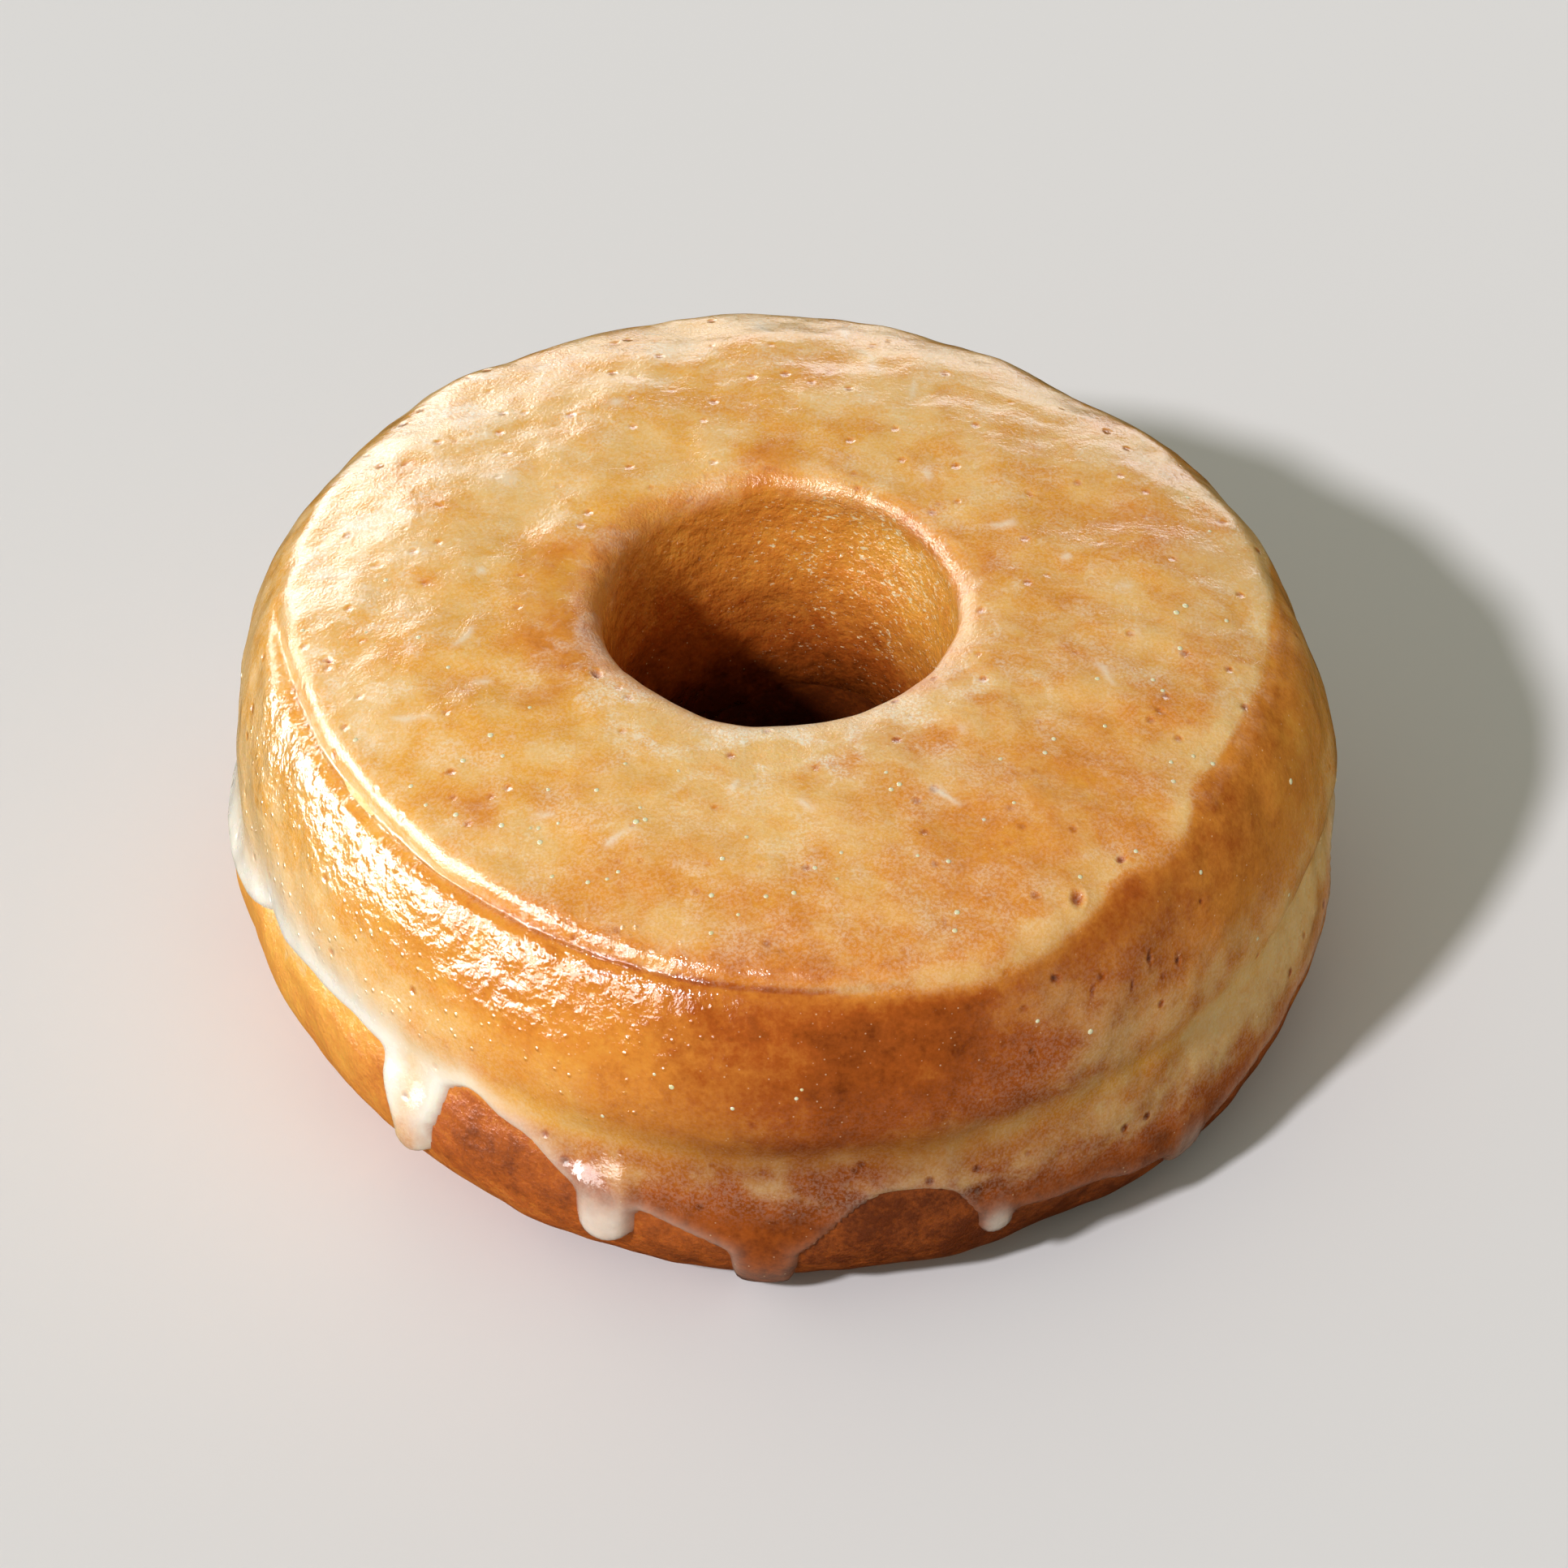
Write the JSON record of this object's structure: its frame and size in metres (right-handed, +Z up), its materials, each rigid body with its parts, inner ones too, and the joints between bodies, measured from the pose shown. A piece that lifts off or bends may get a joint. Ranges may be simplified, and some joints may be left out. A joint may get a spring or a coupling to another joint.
{
  "type": "glazed ring doughnut",
  "caption": "Tall raised ring doughnut with a round hole, a pale proof line round its side and a sugar glaze that runs down in drips; it rests on its flat underside.",
  "frame": {"origin": "bottom centre of the doughnut's box, on the surface that it rests on", "axes": "+Z up along the hole, -Y towards the side with the drips of glaze"},
  "size_m": [0.0932, 0.0932, 0.0385],
  "materials": {
    "crust": "fried golden brown crust",
    "glaze": "thin sugar glaze, clear to milky"
  },
  "bodies": {
    "root": {"doughnut": "crust"}
  },
  "joints": []
}
